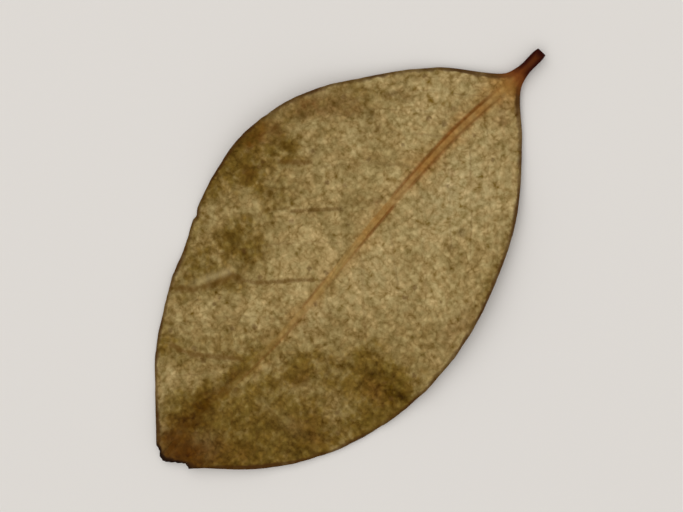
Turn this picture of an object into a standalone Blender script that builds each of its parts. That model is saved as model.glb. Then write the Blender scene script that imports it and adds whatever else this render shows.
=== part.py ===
"""One dried bay leaf, lying underside up on a flat surface.

The leaf is one closed solid: a thin blade with a wavy margin, a midrib that stands up from it, and the
stalk (petiole) that the midrib runs out into. The stalk points to -X, the tip to +X, and left and right are
as seen from the stalk with the underside up, so the left half is at +Y. The surface it lies on is z = 0, and
the origin is under the middle of the leaf's box.

All lengths below are in millimetres, and distances along the leaf start where the stalk meets the blade.
"""

import math

import bpy

MM = 0.001

# Outline: (along, across) points of each margin, from the cut end of the stalk to the tip.
LEFT_MARGIN = (
    (-4.8, 0.75), (-4.1, 0.85), (-1.3, 0.85), (1.0, 1.75), (5.6, 6.4), (12.5, 12.2), (21.2, 16.5),
    (30.5, 19.1), (40.6, 19.6), (51.2, 17.3), (60.7, 12.0), (67.8, 4.7),
)  # fmt: skip
RIGHT_MARGIN = (
    (-4.8, -0.55), (-4.1, -0.7), (-1.3, -0.85), (0.9, -1.9), (6.1, -8.7), (16.1, -16.6),
    (21.4, -19.4), (27.5, -21.0), (34.0, -21.0), (41.5, -19.4), (47.0, -17.0), (51.6, -15.1),
    (60.5, -10.1), (65.8, -5.1), (69.6, -1.6),
)  # fmt: skip
MIDLINE = (
    (-4.8, 0.1), (0.0, 0.0), (10.3, -0.88), (20.3, -0.85), (28.6, -0.45), (41.3, 0.5),
    (49.6, 0.6), (64.8, 0.0), (70.2, 0.2),
)  # fmt: skip
# The nibbled end of the tip: (across, along) from the right margin to the left one.
TIP_EDGE = ((-1.6, 69.6), (-0.2, 70.5), (0.9, 70.5), (3.1, 68.6), (3.9, 68.8), (4.7, 67.8))
TIP_PULL = 4.0  # length over which the rows bend to the nibbled edge

# How high the dried leaf stands off the surface: (along, height), at the midline and at each margin.
SINK = 0.15  # what would hang below this is pressed flat on the surface
MIDLINE_LIFT = ((-4.8, 0.6), (0.0, 0.4), (7.0, 0.0), (48.0, 0.0), (60.0, 0.3), (70.2, 0.9))
LEFT_LIFT = (
    (-4.8, 0.0), (2.0, 0.1), (10.0, 1.3), (22.0, 2.9), (33.0, 2.3), (42.0, 0.8),
    (52.0, 0.0), (60.0, 0.3), (67.8, 0.6),
)  # fmt: skip
RIGHT_LIFT = (
    (-4.8, 0.0), (2.0, 0.1), (12.0, 1.5), (27.0, 3.1), (37.0, 1.8), (45.0, 0.1),
    (52.0, 1.1), (60.0, 0.2), (69.6, 0.4),
)  # fmt: skip
LIFT_ROUNDING = 0.35  # softens the line where the blade leaves the surface
LIFT_POWER = 2.2  # how late the lift comes on from the midline to the margin

# Sections
BLADE_THICKNESS = 0.32
EDGE_BEVEL = 0.3  # width of the thinned strip along the margin
RIB_WIDTH = ((-4.8, 1.7), (0.0, 1.5), (8.0, 1.2), (20.0, 1.0), (50.0, 0.7), (70.2, 0.4))
RIB_HEIGHT = ((-4.8, 0.7), (8.0, 0.34), (25.0, 0.2), (50.0, 0.1), (70.2, 0.02))
STALK_RADIUS = 0.93
STALK_FLATNESS = 0.85  # stalk's height over its width
STALK_ENDS = -1.5  # the section is round up to here
BLADE_STARTS = 6.0  # and is all blade and rib from here

# Mesh
ROWS = 58
ROW_CROWDING = 0.5  # rows lie closer together at the stalk than at the tip
RIB_COLUMNS = 3
BLADE_COLUMNS = 7
HALF_COLUMNS = RIB_COLUMNS + BLADE_COLUMNS

LEAF_COLOUR = (0.27, 0.20, 0.075, 1.0)  # pale olive brown
LEAF_ROUGHNESS = 0.6


def smooth_step(value, start, end):
    """0 up to start, 1 from end on, and a smooth rise between them."""
    t = min(max((value - start) / (end - start), 0.0), 1.0)
    return t * t * (3.0 - 2.0 * t)


def through(points, at):
    """The value at `at` of the smooth curve (a cubic spline with three-point slopes) through the points."""
    last = len(points) - 1
    at = min(max(at, points[0][0]), points[last][0])
    k = next(i for i in range(last) if at <= points[i + 1][0])

    def slope(i):
        before, after = points[max(i - 1, 0)], points[min(i + 1, last)]
        return (after[1] - before[1]) / (after[0] - before[0])

    (x0, y0), (x1, y1) = points[k], points[k + 1]
    span = x1 - x0
    t = (at - x0) / span
    rise = t * t * (3.0 - 2.0 * t)
    bend = slope(k) * t * (1.0 - t) ** 2 - slope(k + 1) * t * t * (1.0 - t)
    return y0 + (y1 - y0) * rise + span * bend


def straight(points, at):
    """The value at `at` on the straight runs between the points."""
    at = min(max(at, points[0][0]), points[-1][0])
    k = next(i for i in range(len(points) - 1) if at <= points[i + 1][0])
    (x0, y0), (x1, y1) = points[k], points[k + 1]
    return y0 + (y1 - y0) * (at - x0) / (x1 - x0)


def along_at(points, row):
    """Where a margin or the midline has got to, at a row from 0 (stalk end) to 1 (tip)."""
    start, end = points[0][0], points[-1][0]
    return start + (end - start) * row


def column_across(column, half_width, rib_half, roundness):
    """Distance of a column from the midline, mixing the round stalk's columns with the flat blade's."""
    on_stalk = half_width * math.sin(math.pi / 2 * column / HALF_COLUMNS)
    if column <= RIB_COLUMNS:
        on_blade = rib_half * column / RIB_COLUMNS
    elif column == HALF_COLUMNS:
        on_blade = half_width
    else:
        step = (column - RIB_COLUMNS) / (BLADE_COLUMNS - 1)
        on_blade = rib_half + (half_width - EDGE_BEVEL - rib_half) * step
    return on_blade + (on_stalk - on_blade) * roundness


def column_heights(column, along, half_width, roundness):
    """Heights of the upper and lower skin over the middle of the section."""
    radius = STALK_FLATNESS * min(half_width, STALK_RADIUS)
    on_stalk = radius * math.cos(math.pi / 2 * column / HALF_COLUMNS)
    rib = max(0.0, 1.0 - (column / RIB_COLUMNS) ** 2) * through(RIB_HEIGHT, along)
    over = BLADE_THICKNESS / 2 + rib
    under = BLADE_THICKNESS / 2
    return over + (on_stalk - over) * roundness, under + (on_stalk - under) * roundness


def lift(along, lifts, fraction):
    """Height of the leaf's lower skin over the surface, at a fraction of the way out to the margin."""
    raw = through(MIDLINE_LIFT, along) + through(lifts, along) * fraction**LIFT_POWER - SINK
    if raw <= 0.0:
        return 0.0
    return raw * raw / (raw + LIFT_ROUNDING)


def section_points(row, margin, lifts):
    """(upper, lower) points of one half of a section, from the midline out to the margin."""
    middle_along, margin_along = along_at(MIDLINE, row), along_at(margin, row)
    middle_across, margin_across = through(MIDLINE, middle_along), through(margin, margin_along)
    roundness = 1.0 - smooth_step(middle_along, STALK_ENDS, BLADE_STARTS)
    half_width = abs(margin_across - middle_across)
    side = math.copysign(1.0, margin_across - middle_across)
    rib_half = min(through(RIB_WIDTH, middle_along) / 2, 0.4 * half_width)
    pull = smooth_step(middle_along, MIDLINE[-1][0] - TIP_PULL, MIDLINE[-1][0])
    deepest = column_heights(0, middle_along, half_width, roundness)[1]
    upper, lower = [], []
    for column in range(HALF_COLUMNS + 1):
        out = column_across(column, half_width, rib_half, roundness)
        fraction = out / half_width
        along = middle_along + (margin_along - middle_along) * fraction
        across = middle_across + side * out
        if pull > 0.0:
            straight_end = MIDLINE[-1][0] + (margin[-1][0] - MIDLINE[-1][0]) * fraction
            end_across = MIDLINE[-1][1] + (margin[-1][1] - MIDLINE[-1][1]) * fraction
            along += pull * (straight(TIP_EDGE, end_across) - straight_end)
        over, under = column_heights(column, middle_along, half_width, roundness)
        height = lift(along, lifts, fraction) + deepest
        if column == HALF_COLUMNS:
            over = under = 0.0
        upper.append((along, across, height + over))
        lower.append((along, across, height - under))
    return upper, lower


def leaf_rings():
    """The leaf's sections from the stalk's end to the tip, each as its upper and its lower line of points,
    which run from the left margin to the right one and share their two end points."""
    rings = []
    for number in range(ROWS + 1):
        t = number / ROWS
        row = t - ROW_CROWDING * t * (1.0 - t)
        left_upper, left_lower = section_points(row, LEFT_MARGIN, LEFT_LIFT)
        right_upper, right_lower = section_points(row, RIGHT_MARGIN, RIGHT_LIFT)
        upper = left_upper[::-1] + right_upper[1:]
        lower = left_lower[::-1] + right_lower[1:]
        rings.append((upper, lower))
    return rings


def leaf_mesh(rings):
    """A closed mesh with its box's middle over the origin."""
    points, uppers, lowers = [], [], []
    for upper, lower in rings:
        start = len(points)
        points += upper
        uppers.append([start + i for i in range(len(upper))])
        start = len(points)
        points += lower[1:-1]
        inner = [start + i for i in range(len(lower) - 2)]
        lowers.append([uppers[-1][0], *inner, uppers[-1][-1]])
    faces = []
    for skins, turned in ((uppers, False), (lowers, True)):
        for near, far in zip(skins, skins[1:]):
            for i in range(len(near) - 1):
                quad = (near[i], near[i + 1], far[i + 1], far[i])
                faces.append(quad[::-1] if turned else quad)
    faces += end_cap(uppers[0], lowers[0])
    faces += [face[::-1] for face in end_cap(uppers[-1], lowers[-1])]

    middle = [
        (min(p[axis] for p in points) + max(p[axis] for p in points)) / 2 for axis in (0, 1)
    ]
    placed = [((x - middle[0]) * MM, (y - middle[1]) * MM, z * MM) for x, y, z in points]
    mesh = bpy.data.meshes.new("bay_leaf")
    mesh.from_pydata(placed, [], faces)
    mesh.validate()
    return mesh


def end_cap(upper, lower):
    """Faces that close a section's end, a strip of them from margin to margin."""
    faces = [(upper[0], lower[1], upper[1])]
    for i in range(1, len(upper) - 2):
        faces.append((upper[i], lower[i], lower[i + 1], upper[i + 1]))
    faces.append((upper[-2], lower[-2], upper[-1]))
    return faces


def leaf_material():
    material = bpy.data.materials.new("dried_leaf")
    material.use_nodes = True
    shader = material.node_tree.nodes["Principled BSDF"]
    shader.inputs["Base Color"].default_value = LEAF_COLOUR
    shader.inputs["Roughness"].default_value = LEAF_ROUGHNESS
    shader.inputs["Metallic"].default_value = 0.0
    return material


def main():
    for thing in list(bpy.data.objects):
        bpy.data.objects.remove(thing, do_unlink=True)
    mesh = leaf_mesh(leaf_rings())
    mesh.shade_smooth()
    mesh.set_sharp_from_angle(angle=math.radians(50))
    mesh.materials.append(leaf_material())
    bpy.context.scene.collection.objects.link(bpy.data.objects.new("bay_leaf", mesh))


main()
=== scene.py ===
"""One dried bay leaf, lying underside up on a pale surface under soft studio light.

Lengths are in millimetres, unless a name ends in _M for metres. Along the leaf they start where the stalk
meets the blade and grow towards the tip. Across it they are positive on the leaf's left, which is +Y.
The leaf is one piece: a flat grid is thickened into a closed sheet, and every point of it is then moved to
its place by the outline, the sections and the relief that the tables below give.
"""

import math

import bpy
import numpy as np
from mathutils import Matrix, Vector, noise


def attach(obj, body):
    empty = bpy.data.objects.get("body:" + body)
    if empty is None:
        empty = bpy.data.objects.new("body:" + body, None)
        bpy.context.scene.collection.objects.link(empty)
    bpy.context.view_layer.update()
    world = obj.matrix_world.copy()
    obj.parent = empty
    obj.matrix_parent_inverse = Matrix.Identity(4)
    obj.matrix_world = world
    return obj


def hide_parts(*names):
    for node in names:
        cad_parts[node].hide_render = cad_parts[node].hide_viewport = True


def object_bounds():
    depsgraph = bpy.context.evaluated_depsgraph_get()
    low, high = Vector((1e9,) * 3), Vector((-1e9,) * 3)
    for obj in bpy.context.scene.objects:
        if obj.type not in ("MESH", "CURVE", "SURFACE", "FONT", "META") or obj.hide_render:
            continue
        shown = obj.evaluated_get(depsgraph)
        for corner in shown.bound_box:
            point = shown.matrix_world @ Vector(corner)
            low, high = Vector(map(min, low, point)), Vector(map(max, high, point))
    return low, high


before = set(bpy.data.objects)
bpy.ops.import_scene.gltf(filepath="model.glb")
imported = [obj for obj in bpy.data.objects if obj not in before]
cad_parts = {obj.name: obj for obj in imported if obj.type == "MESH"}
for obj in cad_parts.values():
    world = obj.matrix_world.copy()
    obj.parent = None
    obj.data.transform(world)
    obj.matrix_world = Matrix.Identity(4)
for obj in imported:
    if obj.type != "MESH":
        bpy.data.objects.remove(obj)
CAD_BOX = [list(corner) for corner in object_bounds()]
MM = 0.001

# ---- outline: (along, across) points from the cut end of the stalk to the tip ----
LEFT_MARGIN = (
    (-4.8, 0.75), (-4.1, 0.85), (-1.3, 0.85), (1.0, 1.75), (5.6, 6.4), (12.5, 12.2), (21.2, 16.5),
    (30.5, 19.1), (40.6, 19.6), (51.2, 17.3), (60.7, 12.0), (67.8, 4.7),
)
RIGHT_MARGIN = (
    (-4.8, -0.55), (-4.1, -0.7), (-1.3, -0.85), (0.9, -1.9), (6.1, -8.7), (16.1, -16.6),
    (21.4, -19.4), (27.5, -21.0), (34.0, -21.0), (41.5, -19.4), (47.0, -17.0), (51.6, -15.1),
    (60.5, -10.1), (65.8, -5.1), (69.6, -1.6),
)
MIDLINE = (
    (-4.8, 0.1), (0.0, 0.0), (10.3, -0.88), (20.3, -0.85), (28.6, -0.45), (41.3, 0.5),
    (49.6, 0.6), (64.8, 0.0), (70.2, 0.2),
)
# The nibbled end of the tip: (across, along) from the right margin to the left one.
TIP_EDGE = (
    (-1.6, 69.6), (-1.1, 69.75), (-0.7, 69.9), (-0.2, 70.5), (0.3, 70.6), (0.9, 70.5), (1.6, 69.9),
    (2.4, 69.2), (3.1, 68.6), (3.5, 68.65), (3.9, 68.8), (4.2, 68.4), (4.7, 67.8),
)
TIP_PULL = 4.0  # length over which the rows bend to the nibbled edge
CRUMBLE_SIZE, CRUMBLE_DEPTH = 0.35, 0.12  # the small unevenness of the nibbled edge
MARGIN_WOBBLE = ((2.6, 0.09), (0.9, 0.05))  # (size, depth) of the margin's small unevenness
NICK_ALONG, NICK_WIDTH, NICK_DEPTH = 42.5, 0.6, 0.3  # a nick in the right margin

# ---- how high it stands off the surface: (along, height) at the midline and at each margin ----
SINK = 0.15  # what would hang below this is pressed flat
MIDLINE_LIFT = ((-4.8, 0.6), (0.0, 0.4), (7.0, 0.0), (48.0, 0.0), (60.0, 0.3), (70.2, 0.9))
LEFT_LIFT = (
    (-4.8, 0.0), (2.0, 0.1), (10.0, 1.3), (22.0, 2.9), (33.0, 2.3), (42.0, 0.8),
    (52.0, 0.0), (60.0, 0.3), (67.8, 0.6),
)
RIGHT_LIFT = (
    (-4.8, 0.0), (2.0, 0.1), (12.0, 1.5), (27.0, 3.1), (37.0, 1.8), (45.0, 0.1),
    (52.0, 1.1), (60.0, 0.2), (69.6, 0.4),
)
LIFT_ROUNDING = 0.35  # softens the line where the blade leaves the surface
LIFT_POWER = 2.2  # how late the lift comes on from the midline to the margin
MARGIN_WAVE_SIZE, MARGIN_WAVE_HEIGHT = 4.5, 0.3  # small waves of the margin on top of that

# ---- sections ----
BLADE_THICKNESS = 0.32
RIM_RADIUS = 0.15  # the margin is rounded off over this width
RIM_COLUMNS = 4
THINNEST_RIM = 0.04  # as a share of the blade's thickness
RIB_WIDTH = (
    (-4.8, 1.7), (0.0, 1.5), (8.0, 1.2), (20.0, 1.0), (32.0, 0.9), (50.0, 0.7), (70.2, 0.4),
)
RIB_HEIGHT = ((-4.8, 0.7), (8.0, 0.34), (25.0, 0.2), (50.0, 0.1), (70.2, 0.02))
# How deep the furrow is on each side of the midrib, and how dark its painted shade is: (along, amount).
LEFT_FURROW = (
    (0.0, 0.0), (4.0, 0.2), (8.0, 0.5), (18.0, 0.65), (19.8, 0.4), (20.8, 0.0), (22.6, 0.0),
    (23.4, 0.85), (28.0, 0.75), (32.0, 0.3), (40.0, 0.1), (44.0, 0.35), (51.0, 0.4), (60.0, 0.0),
)
RIGHT_FURROW = (
    (0.0, 0.0), (3.5, 0.4), (6.0, 1.0), (13.0, 0.9), (19.0, 0.7), (21.8, 0.5), (23.0, 0.0),
    (35.0, 0.1), (38.0, 0.5), (41.0, 0.5), (43.0, 0.0), (70.0, 0.0),
)
RIB_TINT = (  # how much the midrib's colour shows
    (0.0, 0.0), (3.0, 0.15), (6.0, 0.7), (18.0, 0.95), (20.6, 0.45), (22.6, 0.45), (24.0, 0.9),
    (33.0, 0.7), (42.0, 0.6), (50.0, 0.45), (58.0, 0.3), (65.0, 0.15), (70.0, 0.0),
)
FURROW_DEPTH = 0.06
STALK_RADIUS = 0.93
STALK_FLATNESS = 0.85  # stalk's height over its width
STALK_ENDS = -1.5  # the section is round up to here
BLADE_STARTS = 6.0  # and is all blade and rib from here
STALK_END_ROUNDING = 0.45
STALK_WRINKLE = 0.06  # as a share of the stalk's radius
WRINKLE_SIZE, WRINKLE_STRETCH = 0.35, 4.0  # size across, and how much longer they run along

# ---- relief ----
# Where the side veins leave the midrib on each side.
LEFT_VEINS = (2.0, 5.5, 9.0, 13.0, 18.0, 24.0, 30.5, 36.5, 42.0, 47.0, 51.5, 56.5, 61.0, 66.0)
RIGHT_VEINS = (0.5, 3.5, 7.0, 11.0, 16.5, 23.2, 30.0, 36.6, 43.0, 49.4, 54.0, 58.5, 63.0, 67.0)
VEIN_SLANT = 0.70  # along per across where a side vein leaves the midrib near the base
VEIN_SLANT_GAIN = 0.0035  # more of it for each millimetre along
VEIN_BEND = 0.015  # how a side vein curves towards the tip
VEIN_LOOP, VEIN_LOOP_START = 60.0, 0.7  # how it runs on forwards past this share of its way out
VEIN_WANDER_SIZE, VEIN_WANDER = 7.0, 0.9  # how it strays from that course
VEIN_SPACING = 6.0  # about how far apart they are
VEIN_HEIGHT, VEIN_HALF_WIDTH = 0.09, 0.30
# The side veins that have dried dark: (half width, (along, across) points from the midrib outwards).
DARK_VEINS = (
    (0.36, ((38.0, -1.4), (40.3, -3.7), (43.4, -6.5), (44.7, -8.3))),
    (0.6, ((44.7, -8.3), (45.2, -9.7), (46.4, -10.2), (47.9, -10.9), (50.3, -12.3), (51.6, -13.8))),
    (0.32, ((28.4, -5.3), (29.7, -6.4), (31.5, -8.2), (33.2, -9.7))),
    (0.4, ((26.5, -12.2), (28.0, -13.8), (29.2, -15.3))),
    (0.45, ((52.8, -1.1), (54.4, -3.3), (56.6, -5.9), (57.7, -8.0), (58.0, -9.4))),
)
FAR_FROM_VEIN = 5.0  # the most that their guide says, in half widths
FOLD_START, FOLD_END = (43.2, -9.4), (51.2, -13.8)  # a small fold near the right margin
FOLD_HEIGHT, FOLD_HALF_WIDTH = 0.25, 0.42
FOLD_FADE = 3.0  # length over which it runs out at each end
# How deep the blade sinks between the side veins: (along, depth).
QUILT_DEPTH = ((0.0, 0.04), (35.0, 0.10), (48.0, 0.20), (62.0, 0.14), (70.0, 0.05))
PUCKER_SIZE, PUCKER_DEPTH = 5.5, 0.2  # the blade as a whole bends with these
CRINKLE_SIZE, CRINKLE_DEPTH = 1.9, 0.045  # and its two skins are uneven with these
MESH_SIZE, MESH_HEIGHT = 2.3, 0.03  # the raised net of small veins
MESH_LINE = 0.16  # width of its lines, as a share of a mesh

# ---- the sheet that it is made from ----
ROWS, COLUMNS = 282, 156
CENTRE_CROWDING = 0.62  # under 1, so that columns lie closer together near the midrib
SHEET_THICKNESS = 0.01  # of the flat unit square, before its points are moved

# ---- patches on the blade: (along, across, half length, half width, turn in degrees, strength) ----
STAINS = {
    "dark": (
        (41.6, 15.0, 3.4, 5.6, 0, 0.75), (41.5, 18.5, 4.0, 2.0, 0, 0.4),
        (54.6, 12.6, 4.2, 3.4, -30, 0.5), (47.8, 17.2, 2.8, 2.6, -20, 0.6),
        (60.0, 7.5, 11.0, 7.5, -20, 0.6), (66.8, 2.0, 5.6, 5.0, 0, 0.34),
        (54.5, -0.4, 7.0, 1.6, 0, 0.42), (62.4, -1.0, 4.8, 2.0, 0, 0.6), (45.6, 7.5, 5.0, 7.0, 0, 0.28),
        (48.0, 4.0, 8.0, 2.0, -62, 0.17), (50.0, -4.5, 8.0, 3.6, 0, 0.08),
        (63.6, -3.7, 2.4, 1.4, 0, 0.4), (41.0, -4.5, 5.0, 4.5, 0, 0.08),
        (22.5, -17.4, 2.6, 2.0, -30, 0.12), (30.5, -18.2, 7.5, 3.2, 0, 0.4),
        (33.4, -16.4, 1.8, 3.2, -15, 0.3), (33.0, -20.4, 8.0, 1.0, 0, 0.5),
        (36.4, -18.4, 3.6, 2.2, 14, 0.18), (27.6, -13.6, 2.8, 0.8, -48, 0.3),
        (31.5, -14.5, 2.0, 1.8, 0, 0.15), (33.6, -12.0, 3.4, 2.4, 0, 0.36),
        (41.3, -11.4, 3.4, 4.1, 0, 0.5), (41.6, -12.2, 1.2, 1.8, 0, 0.25),
        (47.2, -14.4, 4.6, 2.6, 15, 0.4), (47.6, -11.0, 4.4, 2.2, -28, 0.3),
        (46.0, -8.4, 2.2, 1.8, 0, 0.2), (58.2, -8.2, 2.6, 1.8, 50, 0.4),
        (54.0, -6.0, 4.5, 2.2, 0, 0.22), (62.4, -4.7, 2.4, 1.2, 10, 0.15),
        (58.0, -10.6, 3.4, 1.2, 30, 0.4), (18.0, -14.4, 5.5, 2.2, -38, 0.25),
        (15.0, -12.4, 2.4, 1.6, -40, 0.25), (22.0, -12.6, 2.2, 1.8, 0, 0.22),
        (52.0, 4.2, 4.2, 1.8, -20, 0.3), (22.0, 15.8, 8.0, 1.8, 24, 0.3),
        (33.5, 14.0, 4.5, 4.0, 0, 0.22), (38.0, 10.0, 1.6, 1.6, 0, 0.25), (21.2, 8.8, 3.0, 2.2, 0, 0.2),
        (25.0, 5.0, 2.0, 2.4, 0, 0.2), (14.5, -7.0, 2.0, 1.6, 0, 0.14), (22.4, -4.0, 1.4, 1.4, 0, 0.2),
        (27.0, -16.0, 1.8, 1.6, 0, 0.3), (44.6, -17.8, 2.5, 0.9, 18, 0.4),
        (38.7, -13.0, 1.4, 1.4, 0, 0.2), (54.0, 15.2, 3.0, 1.3, -30, 0.5),
        (63.5, 8.6, 3.0, 1.0, -45, 0.4), (22.0, 1.5, 1.4, 1.0, 0, 0.15),
        (15.5, 13.0, 3.5, 1.2, 38, 0.25), (35.0, -2.8, 3.4, 1.4, 0, 0.2),
        (51.4, -3.2, 3.0, 1.4, 0, 0.16), (41.5, -19.2, 4.5, 0.9, 12, 0.35),
        (25.5, 13.0, 4.0, 1.4, 20, 0.12), (47.6, 14.0, 1.4, 1.4, 0, 0.2),
        (51.8, 11.4, 1.6, 1.4, 0, 0.25), (38.2, -19.0, 1.6, 0.8, 10, 0.3),
        (36.5, 17.5, 2.0, 2.4, 0, 0.15), (54.2, -9.2, 1.4, 1.2, 0, 0.2),
        (50.6, -10.2, 1.6, 1.0, -20, 0.15),
    ),
    "rust": (
        (18.0, -13.4, 2.0, 1.2, -36, 0.5), (20.6, -17.0, 3.0, 1.2, -36, 0.65),
        (11.5, -9.6, 2.6, 1.0, -42, 0.2), (29.0, -19.8, 2.0, 1.2, 0, 1.0),
        (26.0, -18.4, 1.4, 1.0, 0, 0.6), (33.2, -17.6, 1.2, 1.6, 0, 0.6),
        (15.4, 3.1, 1.2, 0.4, 50, 0.6), (48.8, 6.4, 1.6, 1.2, 0, 0.35), (43.2, 14.8, 1.6, 3.0, 0, 0.35),
        (53.6, 12.0, 1.8, 3.0, 0, 0.35), (28.0, 17.0, 4.0, 2.0, 0, 0.3),
        (24.5, -2.4, 0.9, 0.6, 30, 0.5), (5.0, 2.5, 1.8, 0.6, 40, 0.4), (8.0, -3.2, 1.0, 0.5, -60, 0.5),
        (63.0, 6.6, 4.6, 1.4, -50, 0.3),
    ),
    "scorched": (
        (67.8, 1.6, 4.8, 3.5, -50, 0.95), (63.6, -0.7, 4.0, 1.5, 0, 0.38),
        (57.6, -0.1, 4.0, 0.7, 0, 0.5),
    ),
    "golden": (
        (1.0, 0.1, 3.6, 3.0, 0, 1.0), (10.0, -0.8, 9.0, 1.5, 0, 0.5), (16.0, -1.0, 4.0, 1.8, 0, 0.3),
        (27.0, -0.4, 7.0, 1.1, 8, 0.4), (41.0, 0.3, 5.0, 1.3, 0, 0.45), (50.0, 0.8, 7.0, 0.9, 0, 0.4),
    ),
    "pale": (
        (61.4, -6.4, 3.0, 1.3, 38, 0.2), (65.0, -4.8, 1.6, 1.0, 42, 0.4),
        (52.5, -8.4, 4.6, 1.4, -30, 0.1), (17.0, 4.6, 8.0, 3.4, 10, 0.8),
        (14.0, 10.0, 6.0, 3.0, 45, 0.4), (11.0, -6.0, 4.0, 2.2, -40, 0.35),
        (31.0, 8.0, 2.0, 7.0, 0, 0.25), (32.0, 3.5, 4.0, 2.0, 0, 0.35), (42.2, 2.0, 2.4, 1.6, 0, 0.55),
        (14.4, 6.0, 2.6, 3.0, 0, 0.5), (18.4, 2.6, 2.4, 1.4, 0, 0.55), (25.0, -12.0, 1.6, 2.0, 0, 0.2),
        (3.6, 1.6, 1.8, 0.8, 30, 0.3), (5.0, -4.6, 3.2, 1.4, -52, 0.4), (54.6, 9.0, 1.2, 3.0, 0, 0.2),
        (41.2, -16.3, 2.4, 2.0, 0, 0.14), (18.8, -9.8, 2.0, 1.6, 0, 0.25),
        (64.0, 3.0, 1.6, 1.6, 0, 0.15),
    ),
}
STAIN_RAGGEDNESS = ((3.2, 1.1), (1.2, 0.7), (0.6, 0.3))  # (size, shift) of the wander of their edges
STAIN_EDGE = 1.15  # over 1, so that a stain is more even inside and fades faster at its edge
SPECKS = (  # small dark ones, in the same form
    (17.1, -8.8, 0.6, 0.4, 0, 0.55), (16.4, -10.7, 0.8, 0.5, 20, 0.5), (18.4, -15.2, 0.5, 0.5, 0, 0.6),
    (22.6, -17.2, 0.6, 0.7, 0, 0.55), (25.2, -13.1, 0.4, 0.4, 0, 0.5), (27.0, -16.1, 0.5, 0.8, 0, 0.65),
    (26.0, -18.6, 0.6, 0.4, 0, 0.6), (29.5, -19.9, 1.3, 0.7, 0, 0.75), (33.2, -17.6, 0.6, 0.8, 0, 0.6),
    (33.2, -13.4, 0.6, 0.5, 0, 0.5), (31.3, -7.9, 0.5, 0.4, 0, 0.6), (28.4, -5.2, 0.5, 0.3, 0, 0.5),
    (41.2, -12.0, 0.9, 0.6, 0, 0.45), (41.7, -13.8, 0.6, 0.8, 0, 0.55), (40.2, -8.5, 0.7, 0.5, 40, 0.4),
    (45.0, -9.0, 0.5, 0.5, 0, 0.6), (47.9, -10.7, 0.6, 0.4, 0, 0.7), (60.7, -2.0, 0.7, 0.4, -40, 0.5),
    (45.9, 8.7, 0.6, 0.5, 0, 0.5), (49.4, 6.2, 0.7, 0.9, 0, 0.5), (61.6, 7.0, 0.3, 1.6, 0, 0.4),
    (19.5, 8.7, 0.6, 0.5, 0, 0.55), (22.0, 9.0, 0.6, 0.5, 0, 0.4), (12.6, -10.6, 0.9, 0.4, -30, 0.45),
)
SPECK_RAGGEDNESS = ((1.1, 0.35), (0.5, 0.2))


def tone(red, green, blue):
    """A colour given by its screen values from 0 to 255, as the linear light that shaders take."""
    screen = [value / 255 for value in (red, green, blue)]
    return (*[v / 12.92 if v <= 0.04045 else ((v + 0.055) / 1.055) ** 2.4 for v in screen], 1.0)


# ---- colours ----
TAN_DARK, TAN_LIGHT = tone(140, 117, 70), tone(172, 149, 100)
OLIVE, DARK_OLIVE = tone(112, 88, 34), tone(74, 52, 0)
RUST, SCORCHED = tone(104, 64, 16), tone(78, 41, 0)
GOLDEN, PALE = tone(150, 108, 50), tone(178, 158, 112)
SPECK, SPECK_OLIVE = tone(84, 56, 24), tone(78, 54, 6)
VEIN_BROWN = tone(94, 64, 20)
RIM_BROWN, RIM_BLACK = tone(66, 38, 10), tone(30, 14, 4)
RIB_TAN, RIB_ORANGE, RIB_SHADE = tone(156, 124, 66), tone(150, 104, 50), tone(112, 66, 18)
STALK_RED, STALK_MAROON = tone(118, 62, 22), tone(46, 8, 2)
UPPER_OLIVE, UPPER_BROWN = tone(98, 86, 34), tone(122, 100, 48)
UPPER_RIB = tone(158, 132, 82)
COOLER, WARMER = (0.98, 1.015, 1.03, 1.0), (1.02, 0.985, 0.97, 1.0)  # small changes of hue
SHADING = (1.0, 1.12, 1.5)  # how much lighter and darker spots differ in red, green and blue
FLOOR_WHITE = tone(221, 217, 212)


# ======================= the leaf's shape =======================
def smooth_step(value, start, end):
    """0 up to start, 1 from end on, and a smooth rise between them."""
    t = np.clip((value - start) / (end - start), 0.0, 1.0)
    return t * t * (3.0 - 2.0 * t)


def through(points, at):
    """The values at `at` of the smooth curve (a cubic spline with three-point slopes) through the points."""
    x, y = np.array(points, float).T
    slope = np.empty_like(y)
    slope[1:-1] = (y[2:] - y[:-2]) / (x[2:] - x[:-2])
    slope[0] = (y[1] - y[0]) / (x[1] - x[0])
    slope[-1] = (y[-1] - y[-2]) / (x[-1] - x[-2])
    at = np.clip(at, x[0], x[-1])
    k = np.clip(np.searchsorted(x, at, side="right") - 1, 0, len(x) - 2)
    span = x[k + 1] - x[k]
    t = (at - x[k]) / span
    rise = t * t * (3.0 - 2.0 * t)
    bend = slope[k] * t * (1.0 - t) ** 2 - slope[k + 1] * t * t * (1.0 - t)
    return y[k] + (y[k + 1] - y[k]) * rise + span * bend


def straight(points, at):
    """The values at `at` on the straight runs between the points."""
    x, y = np.array(points, float).T
    return np.interp(at, x, y)


def along_at(points, row):
    """Where a margin or the midline has got to, at a row from 0 (stalk end) to 1 (tip)."""
    return points[0][0] + (points[-1][0] - points[0][0]) * row


def noise_at(along, across, size, seed):
    """Smooth noise from about -1 to 1, with lumps of this size, at each point of the leaf."""
    return np.array(
        [noise.noise((a / size, b / size, seed)) for a, b in zip(along.tolist(), across.tolist())]
    )


def net_at(along, across, size, seed):
    """1 on the lines of an irregular net with meshes of this size, falling to 0 inside them."""
    found = []
    for a, b in zip(along.tolist(), across.tolist()):
        near, next_one = noise.voronoi((a / size, b / size, seed))[0][:2]
        found.append(next_one - near)
    return np.exp(-((np.array(found) / MESH_LINE) ** 2))


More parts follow.
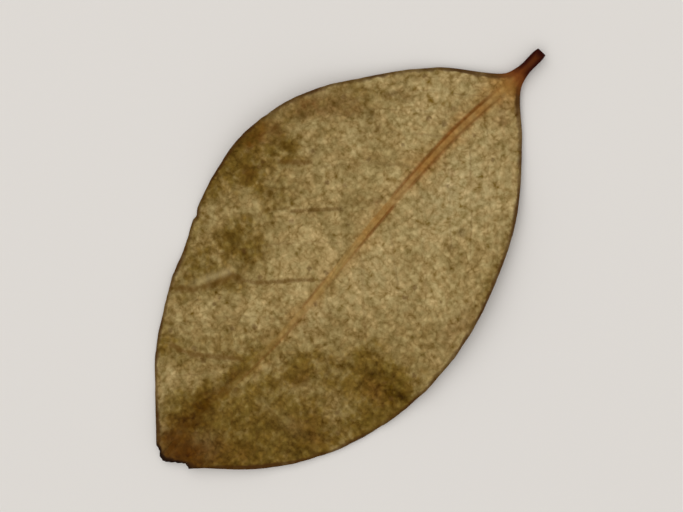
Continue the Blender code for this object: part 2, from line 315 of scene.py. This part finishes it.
def spread(step, half, roundness):
    """(distance from the midline, how full the blade's thickness is) at each step out to the margin."""
    rim_step = 1.0 - RIM_COLUMNS / (COLUMNS / 2)
    inner = (step / rim_step).clip(0.0, 1.0)
    inner *= CENTRE_CROWDING + (1.0 - CENTRE_CROWDING) * inner
    turn = math.pi / 2 * ((step - rim_step) / (1.0 - rim_step)).clip(0.0, 1.0)
    rim = np.minimum(RIM_RADIUS, half / 2)
    on_blade = (half - rim) * inner + rim * np.sin(turn)
    on_stalk = half * np.sin(math.pi / 2 * step)
    return on_blade + (on_stalk - on_blade) * roundness, np.cos(turn).clip(THINNEST_RIM)


def side(row, column, margin, lifts, veins, furrow):
    """One half of the leaf: where each point of the sheet goes, and the guides that its finish follows."""
    sign = math.copysign(1.0, margin[-1][1] - MIDLINE[-1][1])
    middle, edge = along_at(MIDLINE, row), along_at(margin, row)
    middle_across = through(MIDLINE, middle)
    half = np.abs(through(margin, edge) - middle_across)
    wobble = sum(depth * noise_at(edge, edge * 0, size, sign + 9 * size) for size, depth in MARGIN_WOBBLE)
    half += half.clip(0, 1) * smooth_step(edge, 0.0, 6.0) * wobble
    if margin is RIGHT_MARGIN:
        half -= NICK_DEPTH * np.exp(-(((edge - NICK_ALONG) / NICK_WIDTH) ** 2))
    roundness = 1.0 - smooth_step(middle, STALK_ENDS, BLADE_STARTS)
    out, fullness = spread(np.abs(column), half, roundness)
    fraction = out / half

    pull = smooth_step(middle, MIDLINE[-1][0] - TIP_PULL, MIDLINE[-1][0])
    end_along = MIDLINE[-1][0] + (margin[-1][0] - MIDLINE[-1][0]) * fraction
    end_across = MIDLINE[-1][1] + (margin[-1][1] - MIDLINE[-1][1]) * fraction
    crumble = CRUMBLE_DEPTH * noise_at(end_across, end_across * 0, CRUMBLE_SIZE, 4.0)
    along = middle + (edge - middle) * fraction
    along += pull * (straight(TIP_EDGE, end_across) + crumble - end_along)
    across = middle_across + sign * out

    raw = through(MIDLINE_LIFT, middle) + through(lifts, along) * fraction**LIFT_POWER - SINK
    wave = 0.6 + noise_at(edge, edge * 0, MARGIN_WAVE_SIZE, 30 + sign)
    raw = (raw + MARGIN_WAVE_HEIGHT * fraction**5 * wave).clip(0.0)

    slant = (VEIN_SLANT + VEIN_SLANT_GAIN * along) * out + VEIN_BEND * out**2
    loop = VEIN_LOOP * (fraction - VEIN_LOOP_START).clip(0.0) ** 2
    start = along - slant - loop + VEIN_WANDER * noise_at(along, across, VEIN_WANDER_SIZE, 3.0 + sign)
    return {
        "along": along,
        "across": across,
        "out": out,
        "signed_out": sign * out,
        "fraction": fraction,
        "half": half,
        "roundness": roundness,
        "fullness": fullness,
        "furrow": straight(furrow, along),
        "steepness": np.abs(through(margin, edge + 0.1) - through(margin, edge - 0.1)) / 0.2,
        "lift": raw * raw / (raw + LIFT_ROUNDING),
        "vein_index": np.interp(start, veins, np.arange(len(veins))),
        "step": np.abs(column),
        "to_end": MIDLINE[-1][0] - middle,
        "from_start": middle - MIDLINE[0][0],
    }


def both_sides(row, column):
    """Both halves joined up: the left one where the column is positive."""
    left = side(row, column, LEFT_MARGIN, LEFT_LIFT, LEFT_VEINS, LEFT_FURROW)
    right = side(row, column, RIGHT_MARGIN, RIGHT_LIFT, RIGHT_VEINS, RIGHT_FURROW)
    return {name: np.where(column >= 0, left[name], right[name]) for name in left}


def side_vein_ridges(leaf):
    """(ridges of the side veins, hollows between them), each from 0 to 1."""
    from_vein = np.abs(leaf["vein_index"] - np.round(leaf["vein_index"])) * VEIN_SPACING
    ridges = np.exp(-((from_vein / VEIN_HALF_WIDTH) ** 2)) * (1.0 - 0.75 * leaf["fraction"])
    hollows = (1.0 - np.cos(2.0 * math.pi * leaf["vein_index"])) / 2.0
    return ridges, hollows * smooth_step(leaf["fraction"], 0.1, 0.45)


def fold_ridge(along, across):
    """1 along the middle of the fold, falling to 0 at its sides and beyond its ends."""
    (start_along, start_across), (end_along, end_across) = FOLD_START, FOLD_END
    length = math.hypot(end_along - start_along, end_across - start_across)
    c, s = (end_along - start_along) / length, (end_across - start_across) / length
    ahead = (along - start_along) * c + (across - start_across) * s
    aside = (across - start_across) * c - (along - start_along) * s
    run = smooth_step(ahead, 0.0, FOLD_FADE) * smooth_step(-ahead, -length, FOLD_FADE - length)
    return run * np.exp(-((aside / FOLD_HALF_WIDTH) ** 2))


def dark_vein_guide(along, across):
    """0 along the middle of each dark vein, 1 at its sides, and more farther off."""
    nearest = np.full_like(along, FAR_FROM_VEIN)
    for half_width, route in DARK_VEINS:
        for (a0, c0), (a1, c1) in zip(route, route[1:]):
            length = math.hypot(a1 - a0, c1 - c0)
            ahead = ((along - a0) * (a1 - a0) + (across - c0) * (c1 - c0)) / length
            aside = ((across - c0) * (a1 - a0) - (along - a0) * (c1 - c0)) / length
            beyond = ahead - ahead.clip(0.0, length)
            nearest = np.minimum(nearest, np.hypot(aside, beyond) / half_width)
    return nearest


def skin_heights(leaf):
    """Heights of the underside's skin and of the upper side's."""
    along, across, out = leaf["along"], leaf["across"], leaf["out"]
    blade = 1.0 - leaf["roundness"]
    inner = smooth_step(leaf["half"] - out, 0.2, 2.0)
    end_fullness = np.sqrt(1.0 - (1.0 - (leaf["to_end"] / RIM_RADIUS).clip(0.05, 1.0)) ** 2)
    half_thick = BLADE_THICKNESS / 2 * np.minimum(leaf["fullness"], end_fullness)

    rib_half = np.minimum(through(RIB_WIDTH, along) / 2, 0.4 * leaf["half"])
    on_rib = out / rib_half
    rib = through(RIB_HEIGHT, along) * (1.0 - on_rib**2).clip(0.0) ** 1.2
    furrow = FURROW_DEPTH * leaf["furrow"] * np.exp(-(((on_rib - 1.3) / 0.4) ** 2))
    beside = smooth_step(on_rib, 1.0, 2.2)
    ridges, hollows = side_vein_ridges(leaf)

    pucker = PUCKER_DEPTH * noise_at(along, across, PUCKER_SIZE, 5.0) * (0.4 + 0.6 * leaf["fraction"])
    crinkle = CRINKLE_DEPTH * noise_at(along, across, CRINKLE_SIZE, 7.0)
    net = MESH_HEIGHT * net_at(along, across, MESH_SIZE, 2.0)
    bend = blade * beside * (pucker - through(QUILT_DEPTH, along) * hollows * inner)
    bend += FOLD_HEIGHT * fold_ridge(along, across)
    over = half_thick + rib - furrow + beside * (crinkle + inner * (VEIN_HEIGHT * ridges + net))
    under = half_thick - 0.3 * VEIN_HEIGHT * ridges * beside * inner + 0.5 * crinkle

    rounding = np.sqrt(1.0 - (1.0 - (leaf["from_start"] / STALK_END_ROUNDING).clip(0.15, 1.0)) ** 2)
    wrinkle = 1.0 + STALK_WRINKLE * noise_at(along / WRINKLE_STRETCH, across, WRINKLE_SIZE, 11.0)
    stalk = STALK_FLATNESS * np.minimum(leaf["half"], STALK_RADIUS) * rounding * wrinkle
    stalk = (stalk * np.cos(math.pi / 2 * leaf["step"])).clip(0.01)
    over = over * blade + stalk * leaf["roundness"]
    under = under * blade + stalk * leaf["roundness"]
    axis = STALK_FLATNESS * STALK_RADIUS * leaf["roundness"] + BLADE_THICKNESS / 2 * blade
    middle = leaf["lift"] + axis + bend
    return middle + over, middle - under


def stain(leaf, spots, raggedness):
    """How strongly each point is stained, from 0 to 1, by soft spots with wandering edges."""
    along, across = leaf["along"].copy(), leaf["across"].copy()
    for size, shift in raggedness:
        along += shift * noise_at(leaf["along"], leaf["across"], size, 21.0)
        across += shift * noise_at(leaf["along"], leaf["across"], size, 23.0)
    clear = np.ones_like(along)
    for at_along, at_across, half_length, half_width, turn, strength in spots:
        c, s = math.cos(math.radians(turn)), math.sin(math.radians(turn))
        ahead = ((along - at_along) * c + (across - at_across) * s) / half_length
        aside = ((across - at_across) * c - (along - at_along) * s) / half_width
        clear *= 1.0 - strength * np.exp(-((ahead**2 + aside**2) ** STAIN_EDGE))
    return 1.0 - clear


def add_attribute(mesh, name, values):
    """Stores a value for each point, which the materials read by its name."""
    attribute = mesh.attributes.new(name, "FLOAT", "POINT")
    attribute.data.foreach_set("value", np.asarray(values, np.float32))


def deselect_all():
    for thing in bpy.context.selected_objects:
        thing.select_set(False)


def closed_sheet(name):
    """A closed sheet of one unit square: a grid, thickened."""
    deselect_all()
    bpy.ops.mesh.primitive_grid_add(x_subdivisions=ROWS, y_subdivisions=COLUMNS, size=1.0)
    sheet = bpy.context.object
    sheet.name = sheet.data.name = name
    thicken = sheet.modifiers.new("thicken", "SOLIDIFY")
    thicken.thickness = SHEET_THICKNESS
    thicken.offset = -1.0
    bpy.ops.object.modifier_apply(modifier=thicken.name)
    return sheet


def make_leaf():
    """The leaf: a sheet whose points are moved to their places, with its guides and its two finishes."""
    leaf = closed_sheet("dried_leaf")
    mesh = leaf.data
    flat = np.empty(len(mesh.vertices) * 3, np.float32)
    mesh.vertices.foreach_get("co", flat)
    flat = flat.reshape(-1, 3).astype(float)
    shape = both_sides(flat[:, 0] + 0.5, flat[:, 1] * 2.0)
    underside, upper_side = skin_heights(shape)
    is_underside = flat[:, 2] > -SHEET_THICKNESS / 2
    height = np.where(is_underside, underside, upper_side)
    low, high = (np.array(corner) / MM for corner in CAD_BOX)
    x = shape["along"] - shape["along"].min() + low[0]
    y = shape["across"] - (shape["across"].min() + shape["across"].max()) / 2 + (low[1] + high[1]) / 2
    z = height - height.min()
    mesh.vertices.foreach_set("co", (np.stack([x, y, z], 1) * MM).astype(np.float32).ravel())

    add_attribute(mesh, "along", shape["along"])
    add_attribute(mesh, "from_midrib", shape["signed_out"])
    to_side = (shape["half"] - shape["out"]) / np.hypot(1.0, shape["steepness"])
    add_attribute(mesh, "to_margin", np.minimum(to_side, shape["to_end"]))
    add_attribute(mesh, "out_fraction", shape["fraction"])
    add_attribute(mesh, "vein_index", shape["vein_index"])
    add_attribute(mesh, "furrow", shape["furrow"])
    add_attribute(mesh, "rib_tint", straight(RIB_TINT, shape["along"]))
    add_attribute(mesh, "dark_vein", dark_vein_guide(shape["along"], shape["across"]))
    add_attribute(mesh, "fold", fold_ridge(shape["along"], shape["across"]))
    for name, spots in STAINS.items():
        add_attribute(mesh, name, stain(shape, spots, STAIN_RAGGEDNESS))
    add_attribute(mesh, "specks", stain(shape, SPECKS, SPECK_RAGGEDNESS))

    mesh.materials.append(underside_material())
    mesh.materials.append(upper_side_material())
    shown = np.array([0 if is_underside[p.vertices[0]] else 1 for p in mesh.polygons], np.int32)
    mesh.polygons.foreach_set("material_index", shown)
    mesh.shade_smooth()
    mesh.update()
    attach(leaf, "root")
    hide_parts("bay_leaf")
    return leaf


# ======================= node helpers =======================
NUMBER, VECTOR = "NodeSocketFloat", "NodeSocketVector"


def fill(tree, node, sockets):
    """Gives inputs, by name or number, a value or another node's output."""
    for key, value in sockets.items():
        if isinstance(value, bpy.types.NodeSocket):
            tree.links.new(value, node.inputs[key])
        else:
            node.inputs[key].default_value = value
    return node


def add(tree, kind, sockets, **settings):
    """A new node with these input values or links, and these settings."""
    node = tree.nodes.new(kind)
    for name, value in settings.items():
        setattr(node, name, value)
    return fill(tree, node, sockets)


def use(tree, group, sockets):
    """The outputs of a node group placed in a material, with its own values."""
    return add(tree, "ShaderNodeGroup", sockets, node_tree=group).outputs


def calc(tree, operation, a, b=0.0, clamp=False):
    return add(tree, "ShaderNodeMath", {0: a, 1: b}, operation=operation, use_clamp=clamp).outputs[0]


def times(tree, *factors):
    product = factors[0]
    for factor in factors[1:]:
        product = calc(tree, "MULTIPLY", product, factor)
    return product


def weighed(tree, *terms):
    """The sum of (value, weight) terms."""
    total = 0.0
    for value, weight in terms:
        node = add(tree, "ShaderNodeMath", {0: value, 1: weight, 2: total}, operation="MULTIPLY_ADD")
        total = node.outputs[0]
    return total


def ramp(tree, value, low, high, at_low=0.0, at_high=1.0):
    """A smooth change from at_low to at_high while value goes from low to high."""
    sockets = {"Value": value, "From Min": low, "From Max": high, "To Min": at_low, "To Max": at_high}
    return add(tree, "ShaderNodeMapRange", sockets, interpolation_type="SMOOTHSTEP").outputs[0]


def mix(tree, factor, a, b):
    return add(tree, "ShaderNodeMix", {0: factor, 6: a, 7: b}, data_type="RGBA").outputs[2]


def vector_math(tree, operation, sockets):
    return add(tree, "ShaderNodeVectorMath", sockets, operation=operation).outputs[0]


def shade(tree, colour, change):
    """The colour made lighter by a change over 0, or darker by one under 0, its blue changing the most."""
    change = vector_math(tree, "SCALE", {0: SHADING, "Scale": change})
    factor = vector_math(tree, "ADD", {0: change, 1: (1.0, 1.0, 1.0)})
    return vector_math(tree, "MULTIPLY", {0: colour, 1: factor})


def attribute(tree, name):
    return add(tree, "ShaderNodeAttribute", {}, attribute_name=name).outputs["Fac"]


def lumps(tree, vector, size, detail=2.0):
    """Noise from 0 to 1 with lumps of this size."""
    sockets = {"Vector": vector, "Scale": 1.0 / size, "Detail": detail}
    return add(tree, "ShaderNodeTexNoise", sockets).outputs["Fac"]


def vector_of(tree, x, y):
    return add(tree, "ShaderNodeCombineXYZ", {0: x, 1: y}).outputs[0]


def in_millimetres(tree):
    """The place on the leaf, in millimetres."""
    here = add(tree, "ShaderNodeTexCoord", {}).outputs["Object"]
    return vector_math(tree, "SCALE", {0: here, "Scale": 1.0 / MM})


def new_group(name, inputs, outputs):
    """An empty node group: (its tree, its inputs' sockets, its output node)."""
    tree = bpy.data.node_groups.new(name, "ShaderNodeTree")
    for socket, kind in inputs.items():
        tree.interface.new_socket(socket, in_out="INPUT", socket_type=kind)
    for socket in outputs:
        tree.interface.new_socket(socket, in_out="OUTPUT", socket_type=NUMBER)
    return tree, tree.nodes.new("NodeGroupInput").outputs, tree.nodes.new("NodeGroupOutput")


# ======================= effects that both sides of the leaf use =======================
def shifted(tree, vector, size, amount):
    """The vector moved about by noise, so that what follows it bends and wavers."""
    wander = add(tree, "ShaderNodeTexNoise", {"Vector": vector, "Scale": 1.0 / size, "Detail": 1.0})
    centred = vector_math(tree, "SUBTRACT", {0: wander.outputs["Color"], 1: (0.5, 0.5, 0.5)})
    scaled = vector_math(tree, "SCALE", {0: centred, "Scale": amount})
    return vector_math(tree, "ADD", {0: vector, 1: scaled})


def meshes(tree, vector, size, width):
    """Irregular meshes of this size: (the soft lines round them, a dot inside each)."""
    cells = {"Vector": vector, "Scale": 1.0 / size, "Randomness": 0.95}
    kind = "ShaderNodeTexVoronoi"
    edge = add(tree, kind, cells, voronoi_dimensions="2D", feature="DISTANCE_TO_EDGE").outputs["Distance"]
    whole = add(tree, kind, cells, voronoi_dimensions="2D", feature="F1").outputs
    tone_of_mesh = add(tree, "ShaderNodeSeparateColor", {0: whole["Color"]}).outputs[0]
    dots = times(tree, ramp(tree, whole["Distance"], 0.05, 0.6, 1.0, 0.0), tone_of_mesh)
    return ramp(tree, edge, 0.0, width / size, 1.0, 0.0), dots


def vein_net_group():
    """The net of the smallest veins: soft meshes in two sizes, curling lines between them, a paler dot in
    each small mesh, and the mottling and grain of the skin (these two go from 0 to 1 about a half)."""
    outputs = ("Wide", "Fine", "Dots", "Curls", "Mottle", "Grain")
    tree, given, result = new_group("vein_net", {"Place": VECTOR}, outputs)
    place = given["Place"]
    bent = shifted(tree, shifted(tree, place, 1.6, 1.1), 0.4, 0.35)
    wide, _ = meshes(tree, bent, MESH_SIZE, 0.55)
    fine, dots = meshes(tree, bent, 0.8, 0.32)
    off_line = calc(tree, "ABSOLUTE", calc(tree, "SUBTRACT", lumps(tree, bent, 0.8, 1.0), 0.5))
    uneven = ramp(tree, lumps(tree, place, 1.2), 0.35, 0.6, 0.25, 1.0)
    fill(tree, result, {
        "Wide": wide,
        "Fine": times(tree, fine, uneven),
        "Dots": dots,
        "Curls": ramp(tree, off_line, 0.0, 0.06, 1.0, 0.0),
        "Mottle": weighed(tree, (lumps(tree, place, 0.85), 0.7), (lumps(tree, place, 2.2), 0.3)),
        "Grain": lumps(tree, place, 0.3, 3.0),
    })
    return tree


def side_vein_group():
    """The side veins: soft lines where the vein index is whole, which come and go along their length, and
    the few that have dried dark."""
    tree, given, result = new_group("side_veins", {"Place": VECTOR, "Width": NUMBER}, ("Lines", "Dark"))
    waver = weighed(tree, (lumps(tree, given["Place"], 1.1, 3.0), 0.16), (-0.08, 1.0))
    from_vein = calc(tree, "PINGPONG", calc(tree, "ADD", attribute(tree, "vein_index"), waver), 0.5)
    fade = ramp(tree, attribute(tree, "out_fraction"), 0.5, 1.0, 1.0, 0.3)
    uneven = ramp(tree, lumps(tree, given["Place"], 3.0), 0.42, 0.6, 0.1, 0.5)
    lines = ramp(tree, from_vein, 0.0, given["Width"], 1.0, 0.0)
    to_dark = attribute(tree, "dark_vein")
    apart = ramp(tree, to_dark, 1.0, 3.0)
    rough = weighed(tree, (to_dark, 1.0), (lumps(tree, given["Place"], 0.9, 3.0), 1.6), (-0.8, 1.0))
    fill(tree, result, {
        "Lines": times(tree, lines, fade, uneven, apart),
        "Dark": ramp(tree, rough, 0.1, 1.3, 1.0, 0.0),
    })
    return tree


def midrib_group():
    """The midrib: its body, the painted shade of the furrows beside it, and the fine streaks along it."""
    tree, given, result = new_group("midrib", {"Half width": NUMBER}, ("Body", "Furrow shade", "Streaks"))
    along, aside = attribute(tree, "along"), attribute(tree, "from_midrib")
    narrowing = ramp(tree, along, -4.0, 70.0, 1.0, 0.6)
    half_width = times(tree, given["Half width"], narrowing)
    on_rib = calc(tree, "DIVIDE", calc(tree, "ABSOLUTE", aside), half_width)
    streaks = vector_of(tree, times(tree, along, 0.35), times(tree, aside, 5.0))
    inside, outside = ramp(tree, on_rib, 0.4, 0.85), ramp(tree, on_rib, 1.15, 1.75, 1.0, 0.0)
    fill(tree, result, {
        "Body": ramp(tree, on_rib, 0.85, 1.3, 1.0, 0.0),
        "Furrow shade": times(tree, inside, outside, attribute(tree, "furrow")),
        "Streaks": lumps(tree, streaks, 1.0, 3.0),
    })
    return tree


def edges_group():
    """The dark rim along the margin, the charred tip, and the stalk's two reds."""
    tree, given, result = new_group("edges", {"Place": VECTOR}, ("Rim", "Char", "Red", "Maroon"))
    along, to_margin = attribute(tree, "along"), attribute(tree, "to_margin")
    ragged = ramp(tree, lumps(tree, given["Place"], 1.1, 3.0), 0.3, 0.7, 0.4, 0.85)
    patchy = ramp(tree, lumps(tree, given["Place"], 5.0), 0.35, 0.62, 0.65, 1.0)
    near_end = ramp(tree, weighed(tree, (along, 1.0), (attribute(tree, "from_midrib"), 0.2)), 68.2, 69.6)
    char_width = calc(tree, "ADD", ragged, 0.45)
    left_of_tip = weighed(tree, (along, 1.0), (attribute(tree, "from_midrib"), 0.5))
    at_base, at_tip = ramp(tree, along, 2.0, 7.0, 1.0, 0.0), ramp(tree, left_of_tip, 63.0, 67.0)
    to_rim = weighed(tree, (at_base, -0.2), (at_tip, -0.3), (to_margin, 1.0))
    reach = weighed(tree, (along, 1.0), (lumps(tree, given["Place"], 0.9, 3.0), 2.0))
    off_middle = calc(tree, "ABSOLUTE", attribute(tree, "from_midrib"))
    near_cut = ramp(tree, along, -4.6, -2.4, 1.0, 0.0)
    side_of_stalk = calc(tree, "MAXIMUM", ramp(tree, off_middle, 0.0, 0.6, 0.6, 1.0), near_cut)
    fill(tree, result, {
        "Rim": times(tree, ramp(tree, to_rim, 0.2, ragged, 1.0, 0.0), patchy),
        "Char": times(tree, near_end, ramp(tree, to_margin, 0.3, char_width, 1.0, 0.0)),
        "Red": ramp(tree, reach, 0.0, 3.0, 1.0, 0.0),
        "Maroon": times(tree, ramp(tree, reach, -1.2, 1.4, 1.0, 0.0), side_of_stalk),
    })
    return tree


# ======================= materials =======================
def new_material(name):
    """A new material: (itself, its tree, its shader)."""
    material = bpy.data.materials.new(name)
    material.use_nodes = True
    return material, material.node_tree, material.node_tree.nodes["Principled BSDF"]


def edged(tree, colour, place):
    """The colour with the leaf's rim, tip and stalk laid over it."""
    edges = use(tree, GROUPS["edges"], {"Place": place})
    colour = mix(tree, times(tree, edges["Rim"], 0.92), colour, RIM_BROWN)
    for mask, paint in (("Char", RIM_BLACK), ("Red", STALK_RED), ("Maroon", STALK_MAROON)):
        colour = mix(tree, edges[mask], colour, paint)
    return colour


def stained(tree, colour, place, strength):
    """The colour with the blade's blotchy stains and darker patches; the darker ones go through olive to
    dark olive.
    """
    blotches = weighed(tree, (lumps(tree, place, 2.4, 3.0), 0.5), (lumps(tree, place, 0.8, 3.0), 0.5))
    dark = times(tree, attribute(tree, "dark"), ramp(tree, blotches, 0.34, 0.66, 0.65, 1.35), strength)
    rust = times(tree, attribute(tree, "rust"), ramp(tree, blotches, 0.34, 0.66, 1.5, 0.3), strength)
    colour = mix(tree, times(tree, attribute(tree, "golden"), strength), colour, GOLDEN)
    colour = mix(tree, ramp(tree, dark, 0.0, 0.55), colour, OLIVE)
    colour = mix(tree, ramp(tree, dark, 0.4, 1.05), colour, DARK_OLIVE)
    colour = mix(tree, calc(tree, "MINIMUM", rust, 1.0), colour, RUST)
    return mix(tree, times(tree, attribute(tree, "scorched"), strength), colour, SCORCHED)


def speckled(tree, colour, place):
    """The colour with the larger dark specks, and a few small ragged brown ones strewn over it."""
    rough = ramp(tree, lumps(tree, place, 0.5, 3.0), 0.35, 0.6, 0.8, 1.4)
    colour = mix(tree, times(tree, attribute(tree, "specks"), rough), colour, SPECK_OLIVE)
    sockets = {"Vector": shifted(tree, place, 0.4, 0.5), "Scale": 0.5}
    dots = add(tree, "ShaderNodeTexVoronoi", sockets, voronoi_dimensions="2D", feature="F1")
    chance = add(tree, "ShaderNodeSeparateColor", {0: dots.outputs["Color"]}).outputs
    size = ramp(tree, chance[1], 0.78, 1.0, 0.0, 0.22)
    near = ramp(tree, calc(tree, "SUBTRACT", dots.outputs["Distance"], size), -0.12, 0.04, 0.5, 0.0)
    return mix(tree, times(tree, near, ramp(tree, chance[1], 0.78, 0.82)), colour, SPECK)


def underside_material():
    """The pale, dull underside: tan with a fine darker vein net, stains, an orange-brown midrib with painted
    shade in the furrows beside it, and a painted highlight along the small fold.
    """
    material, tree, shader = new_material("leaf_underside")
    place, along = in_millimetres(tree), attribute(tree, "along")
    net = use(tree, GROUPS["net"], {"Place": place})
    veins = use(tree, GROUPS["veins"], {"Place": place, "Width": 0.075})
    rib = use(tree, GROUPS["midrib"], {"Half width": 0.57})

    clouds = weighed(tree, (lumps(tree, place, 5.0, 4.0), 0.6), (lumps(tree, place, 1.4, 3.0), 0.4))
    colour = mix(tree, ramp(tree, clouds, 0.30, 0.70), TAN_DARK, TAN_LIGHT)
    rib_colour = mix(tree, ramp(tree, along, 18.0, 34.0), RIB_ORANGE, RIB_TAN)
    rib_colour = shade(tree, rib_colour, ramp(tree, rib["Streaks"], 0.3, 0.7, -0.18, 0.12))
    rib_patches = ramp(tree, lumps(tree, place, 1.8), 0.35, 0.65, 0.65, 1.0)
    rib_shown = times(tree, rib["Body"], attribute(tree, "rib_tint"), rib_patches)
    colour = mix(tree, rib_shown, colour, rib_colour)
    colour = stained(tree, colour, place, 1.0)
    colour = mix(tree, times(tree, attribute(tree, "pale"), 0.6), colour, PALE)
    # Painted shade: the furrows beside the midrib are darkened.
    colour = mix(tree, times(tree, rib["Furrow shade"], 0.85), colour, RIB_SHADE)

    warm = ramp(tree, lumps(tree, place, 1.2, 3.0), 0.35, 0.65)
    colour = vector_math(tree, "MULTIPLY", {0: colour, 1: mix(tree, warm, COOLER, WARMER)})
    off_rib = calc(tree, "SUBTRACT", 1.0, rib["Body"])
    light = weighed(
        tree, (net["Mottle"], 1.65), (net["Grain"], 0.45), (net["Dots"], 0.27), (net["Curls"], -0.12),
        (net["Wide"], -0.15), (net["Fine"], -0.15), (-1.035, 1.0),
    )
    light = times(tree, light, weighed(tree, (rib["Body"], -0.45), (1.0, 1.0)))
    colour = shade(tree, colour, light)
    for lines, strength in ((veins["Lines"], 0.6), (veins["Dark"], 0.66)):
        colour = mix(tree, times(tree, lines, off_rib, strength), colour, VEIN_BROWN)
    # Painted highlight: a pale streak along the crest of the small fold.
    fold_painted_highlight = times(tree, attribute(tree, "fold"), ramp(tree, clouds, 0.38, 0.6, 0.15, 0.55))
    colour = mix(tree, fold_painted_highlight, colour, PALE)
    colour = edged(tree, speckled(tree, colour, place), place)
    rough = ramp(tree, lumps(tree, place, 1.5, 3.0), 0.3, 0.7, 0.55, 0.78)

    relief = weighed(
        tree, (net["Wide"], 0.6), (net["Fine"], 0.35), (net["Curls"], 0.15), (net["Grain"], 0.8),
        (veins["Lines"], 1.5), (veins["Dark"], 1.0),
    )
    relief = weighed(tree, (relief, off_rib), (times(tree, rib["Streaks"], rib["Body"]), 1.2))
    bump = add(tree, "ShaderNodeBump", {"Height": relief, "Strength": 0.8, "Distance": 0.05 * MM})
    fill(tree, shader, {"Base Color": colour, "Roughness": rough, "Normal": bump.outputs[0]})
    shader.inputs["Specular IOR Level"].default_value = 0.04
    return material


def upper_side_material():
    """The darker, glossier upper side, with a smooth skin, a pale flat midrib and faint veins."""
    material, tree, shader = new_material("leaf_upper_side")
    place = in_millimetres(tree)
    net = use(tree, GROUPS["net"], {"Place": place})
    veins = use(tree, GROUPS["veins"], {"Place": place, "Width": 0.04})
    rib = use(tree, GROUPS["midrib"], {"Half width": 0.42})
    clouds = ramp(tree, lumps(tree, place, 6.0, 4.0), 0.35, 0.7)
    colour = stained(tree, mix(tree, clouds, UPPER_OLIVE, UPPER_BROWN), place, 0.6)
    colour = shade(tree, colour, ramp(tree, net["Dots"], 0.0, 0.8, -0.08, 0.12))
    for mask, strength in ((net["Fine"], 0.25), (veins["Lines"], 0.5), (rib["Body"], 0.9)):
        colour = mix(tree, times(tree, mask, strength), colour, UPPER_RIB)
    colour = edged(tree, colour, place)
    rough = ramp(tree, lumps(tree, place, 2.0, 3.0), 0.3, 0.7, 0.34, 0.5)
    relief = weighed(tree, (net["Fine"], 0.8), (net["Wide"], 0.6), (net["Grain"], 0.4))
    bump = add(tree, "ShaderNodeBump", {"Height": relief, "Strength": 0.6, "Distance": 0.03 * MM})
    fill(tree, shader, {"Base Color": colour, "Roughness": rough, "Normal": bump.outputs[0]})
    return material


# ======================= the studio =======================
FLOOR_SIZE_M = 6.0
LIGHTS = (  # (name, place in metres, size in metres, power in watts)
    ("key_light", (-0.27, -0.45, 1.15), 1.6, 9.35),
    ("fill_light", (0.35, 0.35, 1.3), 1.4, 4.7),
)
SKY_COLOUR, SKY_STRENGTH = (1.0, 0.99, 0.98, 1.0), 0.47
CAMERA_M = Vector((-0.046, 0.006, 0.244))
CAMERA_TARGET_M = Vector((0.0, 0.0, 0.001))
PICTURE_UP = Vector((-0.734, -0.679, 0.0))
LENS = 98.0


def make_floor():
    """The plain pale surface that the leaf lies on."""
    deselect_all()
    bpy.ops.mesh.primitive_plane_add(size=FLOOR_SIZE_M, location=(0.0, 0.0, 0.0))
    floor = bpy.context.object
    floor.name = "floor"
    material, _, shader = new_material("pale_surface")
    shader.inputs["Base Color"].default_value = FLOOR_WHITE
    shader.inputs["Roughness"].default_value = 0.9
    floor.data.materials.append(material)


def add_area_light(name, place_m, size_m, power):
    """A square light that points at the leaf."""
    data = bpy.data.lights.new(name, "AREA")
    data.shape = "SQUARE"
    data.size = size_m
    data.energy = power
    light = bpy.data.objects.new(name, data)
    light.location = place_m
    light.rotation_euler = (-Vector(place_m)).to_track_quat("-Z", "Y").to_euler()
    bpy.context.scene.collection.objects.link(light)


def make_studio():
    make_floor()
    for name, place_m, size_m, power in LIGHTS:
        add_area_light(name, place_m, size_m, power)
    world = bpy.data.worlds.new("studio")
    world.use_nodes = True
    sky = world.node_tree.nodes["Background"]
    sky.inputs["Color"].default_value = SKY_COLOUR
    sky.inputs["Strength"].default_value = SKY_STRENGTH
    bpy.context.scene.world = world
    bpy.context.scene.view_settings.view_transform = "Standard"


def make_camera():
    """The camera, which looks down on the leaf from a little towards its stalk."""
    data = bpy.data.cameras.new("camera")
    data.lens = LENS
    data.sensor_width = 36.0
    camera = bpy.data.objects.new("camera", data)
    back = (CAMERA_M - CAMERA_TARGET_M).normalized()
    right = PICTURE_UP.cross(back).normalized()
    up = back.cross(right)
    turn = Matrix((right, up, back)).transposed().to_4x4()
    camera.matrix_world = Matrix.Translation(CAMERA_M) @ turn
    data.clip_start = 0.01
    bpy.context.scene.collection.objects.link(camera)
    bpy.context.scene.camera = camera


GROUPS = {
    "net": vein_net_group(),
    "veins": side_vein_group(),
    "midrib": midrib_group(),
    "edges": edges_group(),
}
make_leaf()
make_studio()
make_camera()
